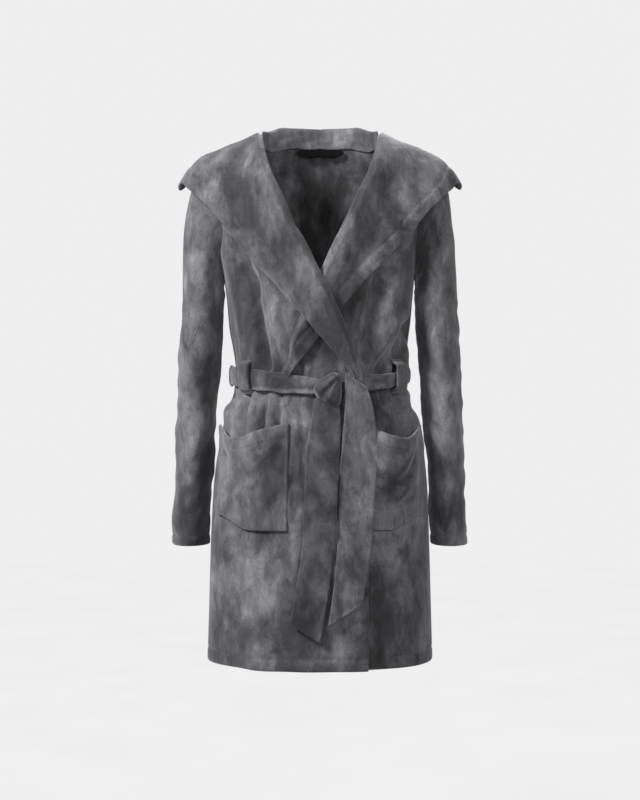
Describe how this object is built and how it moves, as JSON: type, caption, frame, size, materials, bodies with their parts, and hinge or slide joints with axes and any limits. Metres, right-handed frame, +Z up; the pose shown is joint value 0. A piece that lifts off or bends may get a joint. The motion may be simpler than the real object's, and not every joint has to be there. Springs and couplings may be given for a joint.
{
  "type": "hooded wrap bathrobe",
  "caption": "Short hooded wrap robe of plush fleece with a hood worn down as a wide lapel, long sleeves, patch pockets and a belt tied in front.",
  "frame": {"origin": "middle of the neck opening at the height of the shoulder line, where a hanger or the wearer's neck carries the robe", "axes": "+Z up along the hanging cloth, -Y out of the robe's front, +X to the wearer's left"},
  "size_m": [0.5042, 0.3336, 0.9084],
  "materials": {
    "plush": "deep dark grey plush fleece with a brushed nap and a soft sheen",
    "plush_inside": "the duller, closer inner face of the same fleece",
    "label_satin": "plain black woven satin label"
  },
  "bodies": {
    "garment": {"back_panel": "plush", "front_panel_right": "plush", "front_panel_left": "plush", "front_facing_right": "plush_inside", "front_facing_left": "plush_inside", "skirt_hem_back": "plush", "skirt_hem_right": "plush", "skirt_hem_left": "plush", "hood_cape_right": "plush", "hood_cape_left": "plush", "hood_hem_right": "plush", "hood_hem_left": "plush", "neck_band": "plush_inside", "pocket_right": "plush", "pocket_left": "plush", "pocket_hem_right": "plush", "pocket_hem_left": "plush", "belt_waist": "plush", "belt_knot": "plush", "belt_loop_right": "plush", "belt_loop_left": "plush"},
    "sleeve_right": {"sleeve_right": "plush", "sleeve_hem_right": "plush"},
    "sleeve_left": {"sleeve_left": "plush", "sleeve_hem_left": "plush"},
    "hood": {"hood_nape_right": "plush_inside", "hood_nape_left": "plush_inside", "hood_crown_right": "plush", "hood_crown_left": "plush", "hood_edge_back": "plush"},
    "belt_tail_right": {"belt_tail_right": "plush"},
    "belt_tail_left": {"belt_tail_left": "plush"},
    "label": {"neck_label": "label_satin"}
  },
  "joints": [
    {"name": "sleeve_right_swing", "type": "hinge", "parent": "garment", "child": "sleeve_right", "pos_m": [-0.18, 0, -0.018], "axis": [0, 1, 0], "range_deg": [0, 70], "deforming": ["hood_cape_right", "hood_hem_right"]},
    {"name": "sleeve_left_swing", "type": "hinge", "parent": "garment", "child": "sleeve_left", "pos_m": [0.18, 0, -0.018], "axis": [0, -1, 0], "range_deg": [0, 70], "deforming": ["hood_cape_left", "hood_hem_left"]},
    {"name": "hood_lift", "type": "hinge", "parent": "garment", "child": "hood", "pos_m": [0, 0, 0], "axis": [1, 0, 0], "range_deg": [0, 60], "deforming": ["hood_cape_right", "hood_hem_right", "hood_cape_left", "hood_hem_left"]},
    {"name": "belt_tail_right_swing", "type": "hinge", "parent": "garment", "child": "belt_tail_right", "pos_m": [0.014, -0.136, -0.434], "axis": [-1, 0, 0], "range_deg": [0, 60]},
    {"name": "belt_tail_left_swing", "type": "hinge", "parent": "garment", "child": "belt_tail_left", "pos_m": [0.066, -0.136, -0.434], "axis": [-1, 0, 0], "range_deg": [0, 60]},
    {"name": "label_flip", "type": "hinge", "parent": "garment", "child": "label", "pos_m": [0, 0.073, 0.008], "axis": [-1, 0, 0], "range_deg": [0, 55]}
  ]
}
